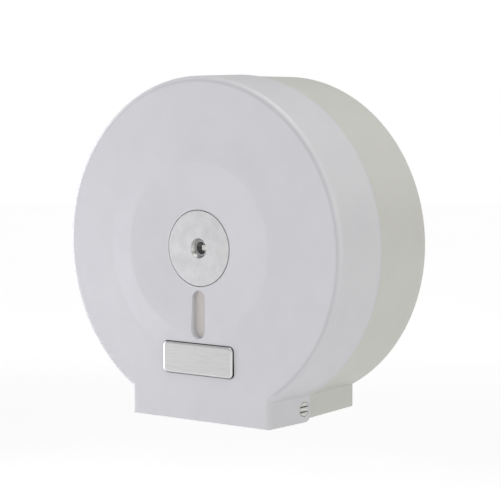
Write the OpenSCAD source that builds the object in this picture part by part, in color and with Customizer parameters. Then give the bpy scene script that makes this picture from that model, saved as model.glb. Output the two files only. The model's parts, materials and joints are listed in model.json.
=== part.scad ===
// Wall dispenser for one jumbo toilet roll: a drop-down round cover on a drum housing,
// a turning core hub on a fixed spindle, and a key-operated centre lock.
// Millimetres. X to the right, Z up, and the wall is the plane Y = 0. The front faces -Y.
// The origin is the spindle axis where it meets the wall.

/* [Body] */
// Depth from the wall to the edge of the front face
body_d = 122; // [112:1:135]
// Outer radius of the round cover at its open edge
cover_r = 136; // [128:1:150]
// Depth of the cover, from its open edge to the front face
cover_d = 55.5; // [48:0.5:62]
// Width of the square outlet base
base_w = 137.3; // [120:0.5:150]
// Reach of the base's underside below the round cover
base_reach = 1.8; // [1:0.2:15]
// Wall thickness of the cover's side and of the housing
wall_t = 2.5; // [2:0.1:3]
// Thickness of the cover's front sheet
face_t = 3; // [2.6:0.1:3.6]
// Thickness of the housing's back plate
back_t = 3; // [2.5:0.1:4]
// Rounding of the cover's front edge
edge_r = 5; // [3:0.5:7]
// Rounding of the base's upright front edges
base_edge_r = 3; // [2:0.5:5]
// Draft angle of the cover
cover_draft = 0.5; // [0:0.1:1]
// Draft angle of the housing
house_draft = 1; // [0:0.1:1.5]
// Step in from the cover to the housing at the seam
seam_step = 1; // [0.5:0.1:1.5]
// Gap between the cover and the housing at the seam
seam_gap = 0.5; // [0.3:0.1:1]

/* [Front face] */
// Radius of the crest ring on the front face
crest_r = 69; // [62:1:74]
// Height of the crest ring over the edge of the front face
crest_h = 1.1; // [0.6:0.1:2]
// Width of the flat border round the face
border_w = 10; // [8:1:14]
// Radius of the round metal centre plate
plate_r = 30; // [26:0.5:31]
// Thickness of the centre plate
plate_t = 1.5; // [1:0.1:1.8]
// Width of the level window
window_w = 12.8; // [10:0.2:15]
// Height of the level window
window_l = 38; // [30:1:40]
// Gap between the centre plate and the window
window_gap = 3.5; // [3:0.1:5]
// Width of the name plate
badge_w = 70; // [50:1:76]
// Height of the name plate
badge_l = 25.2; // [20:0.2:26]
// Thickness of the name plate
badge_t = 2.8; // [2:0.1:3.4]
// Gap between the window and the name plate
badge_gap = 4.1; // [4:0.1:8]

/* [Hinge and outlet] */
// Distance of the hinge pins in front of the seam
hinge_set = 7.6; // [7:0.2:9]
// Height of the hinge pins above the underside of the base
hinge_rise = 10.1; // [9.6:0.1:11]
// Radius of the hinge pins
pin_r = 5.2; // [4.2:0.1:5.4]
// Depth of the cover's bottom lip in front of the paper outlet
lip_d = 16; // [12:1:20]
// Depth of the housing's bottom behind the paper outlet
sill_d = 50; // [36:1:52]
// Gap between the ends of the tear blades and the base's inner sides
blade_gap = 4.05; // [1:0.05:16]
// Thickness of the tear blades
blade_t = 0.8; // [0.5:0.1:1]
// Spacing of the blade teeth
tooth_p = 4; // [3:0.5:6]
// Length of the blade teeth
tooth_l = 4; // [2:0.5:5]

/* [Spindle and core hub] */
// Outer radius of the fixed spindle
spindle_r = 18; // [17:0.5:19]
// Radius of the hollow through the spindle
bore_r = 13; // [12:0.5:13.5]
// Radius of the spindle's screw flange
flange_r = 32; // [31:0.5:34]
// Outer radius of the core hub, which the paper core hangs on
hub_r = 22.5; // [22:0.5:28]
// Radius of the hub's roll-stop flange
stop_r = 40; // [34:1:48]
// Number of fins on the hub
hub_fins = 8; // [6:1:12]

/* [Centre lock] */
// Distance from the front face back to the face of the catch plate
lock_reach = 26; // [24:0.5:30]
// Radius of the keyway in the lock barrel
keyway_r = 4.9; // [4.2:0.1:5.4]
// Width of the square key spigot
spigot_w = 4.8; // [4:0.1:5]
// Depth of the key spigot behind the front face
spigot_depth = 6.7; // [6:0.1:8]
// Half length of the lock's cam bar
cam_reach = 9; // [8:0.5:9.5]

/* [Wall fixing] */
// Distance between the wall slots, across and up
slot_pitch = 110; // [96:1:120]
// Width of a wall slot
slot_w = 5.5; // [4.5:0.1:6.5]
// Length of a wall slot, end to end
slot_l = 11; // [9:0.5:14]

/* [Hidden] */

white = [0.90, 0.90, 0.92];
ivory = [0.90, 0.90, 0.87];
grey = [0.62, 0.63, 0.65];
steel = [0.76, 0.77, 0.78];
zinc = [0.66, 0.67, 0.68];
clear = [0.80, 0.86, 0.88, 0.4];

// Facets of large and small round shapes, and how far a cut runs past a face
fine = 180;
small = 48;
over = 1;

// Clearances: a running fit, loose holes, close holes, the cover's and housing's side walls at
// the hinge, the housing's lip in the cover, and pieces let into a seat
run_gap = 0.06;
slip_gap = 0.3;
hole_gap = 0.1;
side_gap = 0.6;
lip_gap = 0.5;
seat_gap = 0.5;

// Places along the depth, counted out from the wall
face_h = body_d;
seam_h = body_d - cover_d;
rim_h = seam_h - seam_gap;
hinge_h = seam_h + hinge_set;
catch_h = face_h - lock_reach;

// The base: its underside, the root of its block inside the drum, and its softened edges
base_drop = cover_r + base_reach;
base_root = 11.4;
base_top = base_root - sqrt(cover_r * cover_r - base_w * base_w / 4);
base_heel_r = 5;
base_toe_r = 1.5;
base_fall = tan(cover_draft + 0.3) * cover_d;
hinge_u = hinge_rise - base_drop;

// The housing
house_r = cover_r - seam_step;
house_half = base_w / 2 - wall_t - side_gap;
house_lean = tan(house_draft) * rim_h;
house_lift = 0.9;
house_low = house_lift - base_drop;
sill_u = house_low + house_lean + wall_t;
back_edge_r = 1;
back_inner_r = 3;
lip_hang = 4;
lip_t = 1.8;
lip_low = -60;
boss_h = 3;
slot_pad = 4;
rib_t = 2;
rib_h = 4;
rib_out = 102;
rib_step = 30;
ear_wall = 2.8;
ear_r = pin_r + ear_wall;

// The cover's inner side
inner_half = base_w / 2 - wall_t;
lip_h = face_h - lip_d;
pad_t = 1;
pad_h = face_h - face_t - pad_t;
pad_r = plate_r + 4;
boss_wall = 7;
boss_l = 11;
web_l = 9;
web_r = 81;
web_h = face_h - web_l;
lock_boss_h = face_h - boss_l;

// The level window, the lens behind it, and the frame staked over the lens
window_drop = plate_r + window_gap + window_l / 2;
lens_side = 6.8;
lens_end = 3.2;
lens_w = window_w + 2 * lens_side;
lens_l = window_l + 2 * lens_end;
lens_corner = 3;
lens_t = 1.5;
frame_t = 1.5;
frame_gap = 0.5;
lens_rim = 1;
stake_r = 1.4;
stake_head = 0.9;
stake_in = 3.2;
stake_down = 6.2;
stake_x = lens_w / 2 - stake_in;
stake_u = lens_l / 2 - stake_down;

// The name plate, and the studs behind both metal plates
badge_drop = window_drop + window_l / 2 + badge_gap + badge_l / 2;
badge_corner = 4;
badge_soft = 1.2;
badge_sink = 0.2;
badge_stud_in = 10.5;
badge_stud_x = badge_w / 2 - badge_stud_in;
stud_r = 1.5;
stud_l = 3;
plate_stud_in = 7;
plate_stud_r = plate_r - plate_stud_in;

// The tear blades and the posts melted over them
blade_l = 2 * (house_half - wall_t - blade_gap);
blade_over = 2;
blade_back_gap = 3;
blade_depth = lip_d + blade_over - face_t - blade_back_gap;
blade_hole_in = blade_depth / 2;
blade_stake_in = 11.8;
blade_stake_x = blade_l / 2 - blade_stake_in;

// The hinge pins
pin_head_r = pin_r + 2;
pin_head_t = 2.2;
pin_proud = 0.15;
pin_seat_gap = 0.8;
pin_seat_d = 1;
bead_r = 0.4;
bead_l = 0.8;
slit_w = 1.1;
slit_u = 2;

// The spindle stack
flange_t = 4;
shoulder_r = spindle_r + 3;
shoulder_h = 3;
seat_h = back_t + boss_h;
flange_h = seat_h + flange_t;
catch_t = 2;
spindle_h = catch_h - catch_t;
clip_t = 1.2;
clip_groove = 1;
clip_lip = 2.6;
clip_mouth = 8;
clip_back = 9.5;
clip_h = spindle_h - clip_back;
spindle_screw_r = flange_r - 6;
catch_screw_r = (bore_r + spindle_r) / 2;

// The core hub
hub_start = flange_h + shoulder_h + 0.4;
hub_end = clip_h - 0.5;
sleeve_r = spindle_r + 2.2;
collar_w = 6;
stop_t = 2.2;
stop_rim = 2;
stop_lip = 1.8;
hub_lead = 2;

// Screws: head radius, head height, shank radius and length under the head
spindle_head_r = 3.6;
spindle_head_h = 2.2;
spindle_shank_r = 1.55;
spindle_shank_l = 8.5;
screw_gap = 0.65;
catch_head_r = 2.2;
catch_head_h = 1.5;
catch_shank_r = 1.05;
catch_shank_l = 7.5;
cam_head_r = 2.8;
cam_head_h = 1.6;
cam_shank_l = 6.5;

// The lock stack, counted back from the front face
dimple_d = 2.8;
dimple_r = 8;
dimple_hole_r = keyway_r + 0.9;
barrel_face = face_h - dimple_d - 0.2;
barrel_flange_r = 12;
barrel_flange_t = 2.1;
barrel_r = 8;
barrel_flat = 7;
barrel_end = catch_h + 4;
ledge_d = 12.2;
ledge_h = face_h - ledge_d;
rod_r = 3;
collar_h = ledge_h + 0.2;
collar_t = 2.4;
cam_t = 3;
cam_w = 6.4;
cam_h = spindle_h - 0.8 - cam_t;
cam_side_gap = 1;
cam_end_gap = 2.5;
square_w = 3.6;
nut_t = 5;
nut_r = 12.5;
washer_t = 0.8;
lock_clip_t = 0.9;
lock_clip_back = 1.4;
lock_clip_groove = 0.6;
lock_clip_lip = 2.2;

// Stands a shape that was drawn facing up on the wall: drawn X stays across,
// drawn Y becomes up, and drawn Z becomes the distance out from the wall.
module on_wall() {
    rotate([90, 0, 0]) children();
}

// Outline helpers: a polygon of [x, y, corner radius] with every corner rounded
function unit(v) = v / norm(v);
function flat(p) = [p[0], p[1]];
function short_way(t) = t > 180 ? t - 360 : t < -180 ? t + 360 : t;
function bearing(v) = atan2(v[1], v[0]);
function round_at(o, r, from, by, n) =
    [for (i = [0:n]) o + r * [cos(from + by * i / n), sin(from + by * i / n)]];
function corner(a, b, c, n) =
    b[2] == 0 ? [flat(b)] :
    let (
        u = unit(flat(a) - flat(b)),
        v = unit(flat(c) - flat(b)),
        half = acos(u * v) / 2,
        o = flat(b) + unit(u + v) * b[2] / sin(half),
        start = bearing(flat(b) + u * b[2] / tan(half) - o),
        stop = bearing(flat(b) + v * b[2] / tan(half) - o)
    )
    round_at(o, b[2], start, short_way(stop - start), n);
function rounded(p, n = 6) =
    let (c = len(p))
    [for (i = [0:c - 1]) each corner(p[(i + c - 1) % c], p[i], p[(i + 1) % c], n)];

// A flat slab with a round-cornered outline, w across and l up
module pad(w, l, r, t) {
    linear_extrude(t)
        polygon(rounded([[-w / 2, -l / 2, r], [w / 2, -l / 2, r], [w / 2, l / 2, r], [-w / 2, l / 2, r]]));
}

// A slab with full-round ends that runs up the page
module upright_slot(w, l, t) {
    for (s = [-1, 1])
        translate([0, s * (l - w) / 2, 0]) cylinder(h = t, d = w, $fn = small);
    translate([-w / 2, -(l - w) / 2, 0]) cube([w, l - w, t]);
}

// A square bar along the axis, w across its flats
module square_bar(w, from, to) {
    translate([-w / 2, -w / 2, from]) cube([w, w, to - from]);
}

// A disc or a washer from one height to another
module round_bar(r, from, to, n = fine) {
    translate([0, 0, from]) cylinder(h = to - from, r = r, $fn = n);
}

module washer(r, hole, from, to) {
    difference() {
        round_bar(r, from, to);
        round_bar(hole, from - over, to + over);
    }
}

// An outline seen from the side, drawn as distance out and height, as wide as w
module side_slab(points, w) {
    rotate([0, 90, 0]) linear_extrude(w, center = true) mirror([1, 0]) polygon(points);
}

// An outline seen from above, drawn as across and distance out, hung down from top
module plan_slab(points, top, drop) {
    translate([0, top, 0]) rotate([90, 0, 0]) linear_extrude(drop) polygon(points);
}

// A cylinder across the part at the hinge axis, from x0 out to x1 on the right-hand side
module hinge_bar(r, x0, x1) {
    translate([x0, hinge_u, hinge_h]) rotate([0, 90, 0]) cylinder(h = x1 - x0, r = r, $fn = small);
}

module both_sides() {
    children();
    mirror([1, 0, 0]) children();
}

module ring_of(count, r, first = 0) {
    for (i = [0:count - 1])
        rotate(first + i * 360 / count) translate([r, 0, 0]) children();
}

// The four wall slots' places
module at_wall_slots() {
    for (x = [-1, 1], u = [-1, 1])
        translate([x * slot_pitch / 2, u * slot_pitch / 2, 0]) rotate(90) children();
}

// The three places along a tear blade where posts hold it
module at_blade_stakes() {
    for (x = [-1, 0, 1])
        translate([x * blade_stake_x, 0, 0]) children();
}

// A round post melted over what it holds: a shank and a head that tapers away
module melted_post(shank, head) {
    round_bar(stake_r, -0.5, shank + 0.3, small);
    translate([0, 0, shank + 0.1])
        cylinder(h = stake_head, r1 = stake_r + head, r2 = stake_r + head / 3, $fn = small);
}

// Rear housing

module house_drum(inset, from) {
    r_rim = house_r - inset;
    r_back = r_rim - house_lean;
    back_r = inset > 0 ? back_inner_r : back_edge_r;
    rotate_extrude($fn = fine) polygon(rounded([
        [0, from, 0], [r_back, from, back_r], [r_rim, rim_h + inset, 0], [0, rim_h + inset, 0]]));
}

module house_base(inset, from) {
    half = house_half - inset;
    front = rim_h + inset;
    low = inset > 0 ? sill_u : house_low;
    back_low = house_low + house_lean + inset;
    intersection() {
        plan_slab([[house_lean - half, from], [half - house_lean, from], [half, front], [-half, front]],
            base_top, base_drop);
        side_slab([[from, base_top], [front, base_top], [front, low], [from, back_low]], base_w);
    }
}

// Ears that reach into the cover and carry the hinge pins
module hinge_ear() {
    translate([house_half - wall_t, hinge_u - ear_r, rim_h - over])
        cube([wall_t, 2 * ear_r, hinge_set + seam_gap + over]);
    hinge_bar(ear_r, house_half - wall_t, house_half);
}

// Lip that finds the cover's edge, on the upper part of the drum only
module locating_lip() {
    r = cover_r - wall_t - lip_gap;
    difference() {
        washer(r, r - lip_t, rim_h - lip_hang, rim_h + lip_hang);
        translate([-cover_r, lip_low - 2 * cover_r, 0]) cube([2 * cover_r, 2 * cover_r, face_h]);
    }
}

module house_ribs() {
    start = flange_r + seat_gap;
    for (a = [0:rib_step:360 - rib_step])
        rotate(a) translate([start, -rib_t / 2, back_t - over])
            cube([rib_out - rib_t / 2 - start, rib_t, rib_h + over]);
    washer(rib_out, rib_out - rib_t, back_t - over, back_t + rib_h);
}

// The paper outlet in the underside of the housing, between its side walls
module outlet_cut() {
    half = house_half - wall_t - house_lean;
    translate([-half, -base_drop - over, sill_d]) cube([2 * half, base_drop + over + base_top, face_h]);
}

module rear_housing() color(ivory) on_wall() {
    difference() {
        union() {
            difference() {
                union() {
                    house_drum(0, 0);
                    house_base(0, 0);
                }
                house_drum(wall_t, back_t);
                house_base(wall_t, back_t);
            }
            locating_lip();
            house_ribs();
            round_bar(flange_r + 1, 0, seat_h);
            at_wall_slots() upright_slot(slot_w + 2 * slot_pad, slot_l + 2 * slot_pad, seat_h);
            both_sides() hinge_ear();
            translate([0, sill_u, sill_d - blade_hole_in]) at_blade_stakes()
                rotate([-90, 0, 0]) melted_post(blade_t, 1.2);
        }
        at_wall_slots() translate([0, 0, -over]) upright_slot(slot_w, slot_l, seat_h + 2 * over);
        ring_of(4, spindle_screw_r, 45)
            round_bar(spindle_shank_r + run_gap, back_t / 3, seat_h + over, small);
        both_sides() hinge_bar(pin_r + run_gap, house_half - wall_t - over, house_half + over);
        outlet_cut();
    }
}

// Spindle: a flanged tube, screwed to the back plate

module spindle() color(grey) on_wall() {
    difference() {
        rotate_extrude($fn = fine) polygon(rounded([
            [0, seat_h, 0], [flange_r, seat_h, 0], [flange_r, flange_h, 1],
            [shoulder_r, flange_h, 0], [shoulder_r, flange_h + shoulder_h, 0],
            [spindle_r, flange_h + shoulder_h, 0], [spindle_r, spindle_h, 0], [0, spindle_h, 0]]));
        round_bar(bore_r, seat_h - over, spindle_h + over);
        washer(spindle_r + over, spindle_r - clip_groove, clip_h - hole_gap, clip_h + clip_t + hole_gap);
        ring_of(4, spindle_screw_r, 45)
            round_bar(spindle_shank_r + screw_gap, seat_h - over, flange_h + over, small);
        ring_of(3, catch_screw_r)
            round_bar(catch_shank_r + run_gap, catch_h - catch_shank_l - 0.5, spindle_h + over, small);
    }
}

// A pan-head screw that points into the wall, with its head seated at the origin
module pan_screw(head_r, head_h, shank_r, shank_l) {
    slot = head_r * 0.24;
    difference() {
        union() {
            rotate_extrude($fn = small) polygon(rounded([
                [0, 0, 0], [head_r, 0, 0], [head_r, head_h, head_h * 0.6], [0, head_h, 0]], 4));
            round_bar(shank_r, -shank_l, 0.1, small);
        }
        for (a = [0, 90])
            rotate(a) translate([-head_r * 0.55, -slot / 2, head_h * 0.4]) cube([head_r * 1.1, slot, head_h]);
    }
}

module spindle_screws() color(steel) on_wall() {
    ring_of(4, spindle_screw_r, 45) translate([0, 0, flange_h])
        pan_screw(spindle_head_r, spindle_head_h, spindle_shank_r, spindle_shank_l);
}

module catch_plate() color(steel) on_wall() {
    difference() {
        round_bar(spindle_r - slip_gap, spindle_h, catch_h);
        translate([0, 0, spindle_h - over])
            upright_slot(cam_w + 2 * cam_side_gap, 2 * (cam_reach + cam_end_gap), catch_t + 2 * over);
        ring_of(3, catch_screw_r)
            round_bar(catch_shank_r + slip_gap, spindle_h - over, catch_h + over, small);
    }
}

module catch_screws() color(steel) on_wall() {
    ring_of(3, catch_screw_r) translate([0, 0, catch_h])
        pan_screw(catch_head_r, catch_head_h, catch_shank_r, catch_shank_l);
}

// Snap ring in the spindle's groove, which keeps the hub on
module hub_clip() color(steel) on_wall() {
    difference() {
        washer(spindle_r + clip_lip, spindle_r - clip_groove + run_gap, clip_h, clip_h + clip_t);
        translate([-clip_mouth / 2, 0, clip_h - over]) cube([clip_mouth, 2 * spindle_r, clip_t + 2 * over]);
    }
}

// Core hub: a sleeve with three collars, fins between them and a roll stop at the back

module core_hub() color(grey) on_wall() {
    mid = (hub_start + hub_end) / 2;
    stop_h = hub_start + stop_t;
    rim = stop_r - stop_rim;
    rim_top = stop_h + stop_lip;
    last = hub_end - hub_lead - collar_w;
    difference() {
        union() {
            rotate_extrude($fn = fine) polygon(rounded([
                [0, hub_start, 0], [stop_r, hub_start, 1], [stop_r, rim_top, 0], [rim, rim_top, 0],
                [rim, stop_h, 0], [hub_r, stop_h, 0], [hub_r, stop_h + collar_w, 0],
                [sleeve_r, stop_h + collar_w, 0], [sleeve_r, mid - collar_w / 2, 0],
                [hub_r, mid - collar_w / 2, 0], [hub_r, mid + collar_w / 2, 0],
                [sleeve_r, mid + collar_w / 2, 0], [sleeve_r, last, 0], [hub_r, last, 0],
                [hub_r, hub_end - hub_lead, 0], [hub_r - 1.5, hub_end, 0], [0, hub_end, 0]], 4));
            ring_of(hub_fins, sleeve_r - over)
                translate([0, -rib_t / 2, hub_start + over])
                    cube([hub_r - sleeve_r + over - 0.2, rib_t, hub_end - hub_lead - 1 - hub_start - over]);
        }
        round_bar(spindle_r + run_gap, hub_start - over, hub_end + over);
    }
}

// Front cover

// The round shell: drafted side, rounded edge, flat border, crest ring and shallow dish
module cover_drum(side, face, from) {
    r_open = cover_r - side;
    top = face_h - face;
    r_front = r_open - tan(cover_draft) * (top - seam_h);
    rotate_extrude($fn = fine) polygon(rounded([
        [0, from, 0], [r_open, from, 0], [r_front, top, max(edge_r - side, 1)],
        [cover_r - border_w, top, 0], [crest_r, top + crest_h, 0], [plate_r + 3, top, 0], [0, top, 0]], 10));
}

module cover_base(side, face, under, from) {
    half = base_w / 2 - side;
    top = face_h - face;
    low = under - base_drop;
    fall = side > 0 ? 0 : base_fall;
    heel = side > 0 ? 0 : base_heel_r;
    toe = side > 0 ? 0 : base_toe_r;
    edge = max(base_edge_r - side, 0.5);
    intersection() {
        plan_slab(rounded([[-half, from, 0], [half, from, 0], [half, top, edge], [-half, top, edge]]),
            base_top, base_drop);
        side_slab(rounded([
            [from, base_top, 0], [top, base_top, 0], [top, low, toe], [from, low - fall, heel]]), base_w);
    }
}

// Ribs between the lock boss and a ring on the back of the front sheet, left out at the window
module cover_webs() {
    boss_r = barrel_r + boss_wall;
    crown = face_h - face_t + crest_h + 0.4;
    for (a = [0:rib_step:360 - rib_step])
        if (a != 270)
            rotate(a) translate([boss_r - over, -rib_t / 2, web_h])
                cube([web_r - boss_r, rib_t, crown - web_h]);
    washer(web_r, web_r - rib_t, web_h, crown);
}

// Places of the four stakes that hold the lens
module at_lens_stakes() {
    for (x = [-1, 1], u = [-1, 1])
        translate([x * stake_x, u * stake_u - window_drop, 0]) children();
}

// Places of the two studs behind the name plate
module at_badge_studs() {
    for (x = [-1, 1])
        translate([x * badge_stud_x, -badge_drop, 0]) children();
}

// Barrel outline: a round body with two flats, so that it can't turn in the cover
module barrel_section(gap) {
    intersection() {
        circle(r = barrel_r + gap, $fn = fine);
        square([2 * (barrel_flat + gap), 3 * barrel_r], center = true);
    }
}

// What the front sheet carries on its back: pads, lock boss, webs, and posts for lens and blade
module cover_inside() {
    pad_root = face_h - 1;
    frame_h = pad_h - lens_t - frame_t;
    cover_webs();
    round_bar(pad_r, pad_h, pad_root);
    round_bar(barrel_r + boss_wall, lock_boss_h, face_h - 2);
    translate([0, -window_drop, pad_h])
        pad(lens_w + 2 * lens_rim, lens_l + 2 * lens_rim, lens_corner + lens_rim, pad_root - pad_h);
    at_lens_stakes() {
        round_bar(stake_r, frame_h - 1, pad_h + 1, small);
        translate([0, 0, frame_h - 1])
            cylinder(h = stake_head, r1 = stake_r + 0.3, r2 = stake_r + 0.9, $fn = small);
    }
    translate([0, wall_t - base_drop, lip_h - blade_over + blade_hole_in]) at_blade_stakes()
        rotate([-90, 0, 0]) melted_post(blade_t, 1.2);
}

// What is cut from the cover: seats and holes for the plates and the lock, the window, the outlet
// and the pins
module cover_cuts() {
    round_bar(plate_r + seat_gap, face_h - plate_t, face_h + 3);
    round_bar(barrel_flange_r + slip_gap, barrel_face - barrel_flange_t - hole_gap, face_h);
    translate([0, 0, lock_boss_h - over]) linear_extrude(boss_l + 2 * over) barrel_section(hole_gap);
    ring_of(3, plate_stud_r, 90) round_bar(stud_r + hole_gap, pad_h - over, face_h, small);
    translate([0, -window_drop, pad_h - over]) upright_slot(window_w, window_l, face_h - pad_h + 3);
    translate([0, -badge_drop, face_h - badge_sink])
        pad(badge_w + seat_gap, badge_l + seat_gap, badge_corner + seat_gap / 2, 3);
    at_badge_studs() round_bar(stud_r + hole_gap, web_h, face_h + over, small);
    translate([-inner_half, -base_drop - base_heel_r, seam_h - over])
        cube([2 * inner_half, base_heel_r + wall_t + 0.01, lip_h - seam_h + over]);
    both_sides() {
        hinge_bar(pin_r + run_gap, inner_half - over, base_w / 2 + over);
        hinge_bar(pin_r + pin_seat_gap, base_w / 2 - pin_seat_d, base_w / 2 + over);
    }
}

module front_cover() color(white) on_wall() {
    difference() {
        union() {
            difference() {
                union() {
                    cover_drum(0, 0, seam_h);
                    cover_base(0, 0, 0, seam_h);
                }
                cover_drum(wall_t, face_t, seam_h - over);
                cover_base(wall_t, face_t, wall_t, seam_h - over);
            }
            cover_inside();
        }
        cover_cuts();
    }
}

// Round plate, dished at its centre round the keyway, with three studs behind it
module centre_plate() color(steel) on_wall() {
    low = face_h - plate_t;
    dimple_h = face_h - dimple_d;
    rotate_extrude($fn = fine) polygon(rounded([
        [dimple_hole_r, dimple_h, 0], [dimple_r, face_h, 0.5], [plate_r, face_h, 0.5],
        [plate_r, low, 0], [dimple_r + 1, low, 0.5], [dimple_hole_r + 1.3, dimple_h, 0]], 3));
    ring_of(3, plate_stud_r, 90) round_bar(stud_r, pad_h + 0.3, low + 0.6, small);
}

// Pressed metal plate with rounded edges, left bare
module name_plate() color(steel) on_wall() {
    low = face_h - badge_sink;
    high = low + badge_t;
    r = badge_corner;
    hull()
        for (x = [-1, 1], u = [-1, 1])
            translate([x * (badge_w / 2 - r), u * (badge_l / 2 - r) - badge_drop, 0])
                rotate_extrude($fn = 32)
                    polygon(rounded([[0, low, 0], [r, low, 0], [r, high, badge_soft], [0, high, 0]], 3));
    at_badge_studs() round_bar(stud_r, low - stud_l, low + 0.5, small);
}

// A pane or a frame of the lens outline, with holes for the stakes
module lens_sheet(t) {
    difference() {
        translate([0, -window_drop, 0]) pad(lens_w, lens_l, lens_corner, t);
        at_lens_stakes() round_bar(stake_r + hole_gap, -over, t + over, small);
    }
}

module window_lens() color(clear) on_wall() {
    translate([0, 0, pad_h - lens_t]) lens_sheet(lens_t);
}

module lens_frame() color(ivory) on_wall() {
    translate([0, 0, pad_h - lens_t - frame_t]) difference() {
        lens_sheet(frame_t);
        translate([0, -window_drop, -over])
            upright_slot(window_w + 2 * frame_gap, window_l + 2 * frame_gap, frame_t + 2 * over);
    }
}

// Hinge pins: pushed out through the ear into the cover, split by two slits so that the tip snaps in

module hinge_pin() {
    head = house_half - wall_t - 0.2;
    tip = base_w / 2 + pin_proud;
    difference() {
        union() {
            hinge_bar(pin_head_r, head - pin_head_t, head);
            hinge_bar(pin_r, head - 0.1, tip);
            translate([tip - bead_l, hinge_u, hinge_h]) rotate([0, 90, 0])
                cylinder(h = bead_l, r1 = pin_r + bead_r, r2 = pin_r - bead_r / 2, $fn = small);
        }
        for (s = [-1, 1])
            translate([head + 0.6, hinge_u + s * slit_u - slit_w / 2, hinge_h - pin_r - over])
                cube([tip - head, slit_w, 2 * (pin_r + over)]);
    }
}

module hinge_pin_right() color(white) on_wall() {
    hinge_pin();
}

module hinge_pin_left() color(white) on_wall() {
    mirror([1, 0, 0]) hinge_pin();
}

// Tear blades: flat steel strips with a sawtooth edge

function saw(l, pitch, tall) =
    let (n = floor(l / pitch))
    [for (i = [0:2 * n]) [(i - n) * pitch / 2, i % 2 == 0 ? 0 : tall]];

module tear_blade() {
    half = blade_l / 2;
    back = [[half, 0], [half, -blade_depth], [-half, -blade_depth], [-half, 0]];
    difference() {
        linear_extrude(blade_t) polygon(concat(saw(blade_l, tooth_p, tooth_l), back));
        at_blade_stakes() translate([0, -blade_hole_in, 0])
            round_bar(stake_r + slip_gap, -over, blade_t + over, small);
    }
}

module front_tear_blade() color(steel) on_wall() {
    translate([0, wall_t - base_drop, lip_h - blade_over]) rotate([-90, 0, 0]) tear_blade();
}

module rear_tear_blade() color(steel) on_wall() {
    translate([0, sill_u + blade_t, sill_d]) rotate([90, 0, 0]) tear_blade();
}

// Lock

module lock_barrel() color(zinc) on_wall() {
    difference() {
        union() {
            round_bar(barrel_flange_r, barrel_face - barrel_flange_t, barrel_face);
            translate([0, 0, barrel_end]) linear_extrude(barrel_face - barrel_end - 0.5) barrel_section(0);
        }
        round_bar(keyway_r, ledge_h, face_h);
        round_bar(rod_r + run_gap, barrel_end - over, face_h);
    }
}

module lock_washer() color(steel) on_wall() {
    washer(nut_r, barrel_r + 0.2, lock_boss_h - washer_t, lock_boss_h);
}

module lock_nut() color(zinc) on_wall() {
    nut_h = lock_boss_h - washer_t - nut_t;
    difference() {
        round_bar(nut_r, nut_h, nut_h + nut_t, 6);
        round_bar(barrel_r + run_gap, nut_h - over, nut_h + nut_t + over);
    }
}

// Key spigot: square head, collar that stops it in the keyway, rod, clip groove and square end
module lock_spigot() color(steel) on_wall() {
    cam_top = cam_h + cam_t;
    groove_h = barrel_end - lock_clip_back - hole_gap;
    difference() {
        union() {
            square_bar(spigot_w, collar_h + collar_t - 0.1, face_h - spigot_depth);
            round_bar(keyway_r - slip_gap, collar_h, collar_h + collar_t);
            round_bar(rod_r, cam_top + 0.2, collar_h + 0.2);
            square_bar(square_w, cam_h + 0.1, cam_top + 0.4);
        }
        round_bar(catch_shank_r + 0.05, cam_h - over, cam_h + cam_shank_l + 0.5, small);
        washer(rod_r + over, rod_r - lock_clip_groove, groove_h, groove_h + lock_clip_t + 2 * hole_gap);
    }
}

// Cam bar on the spigot's square end: upright it passes the catch plate's slot, across it locks
module lock_cam() color(zinc) on_wall() {
    difference() {
        translate([0, 0, cam_h]) upright_slot(cam_w, 2 * cam_reach, cam_t);
        square_bar(square_w + hole_gap, cam_h - over, cam_h + cam_t + over);
    }
}

module cam_screw() color(steel) on_wall() {
    translate([0, 0, cam_h]) mirror([0, 0, 1])
        pan_screw(cam_head_r, cam_head_h, catch_shank_r, cam_shank_l);
}

module lock_clip() color(steel) on_wall() {
    low = barrel_end - lock_clip_back;
    mouth = rod_r;
    difference() {
        washer(rod_r + lock_clip_lip, rod_r - lock_clip_groove + run_gap, low, low + lock_clip_t);
        translate([-mouth / 2, 0, low - over]) cube([mouth, 3 * rod_r, lock_clip_t + 2 * over]);
    }
}

rear_housing();
spindle();
spindle_screws();
catch_plate();
catch_screws();
hub_clip();
rear_tear_blade();
hinge_pin_left();
hinge_pin_right();
front_cover();
centre_plate();
lock_barrel();
lock_washer();
lock_nut();
window_lens();
lens_frame();
name_plate();
front_tear_blade();
lock_spigot();
lock_cam();
cam_screw();
lock_clip();
core_hub();
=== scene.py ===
# Looks of a wall dispenser for one jumbo toilet roll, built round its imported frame.
# Shapes are drawn as across, up and out from the wall, in millimetres, and end as metres of the frame.
import json
from math import pi, radians, tan

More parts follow.
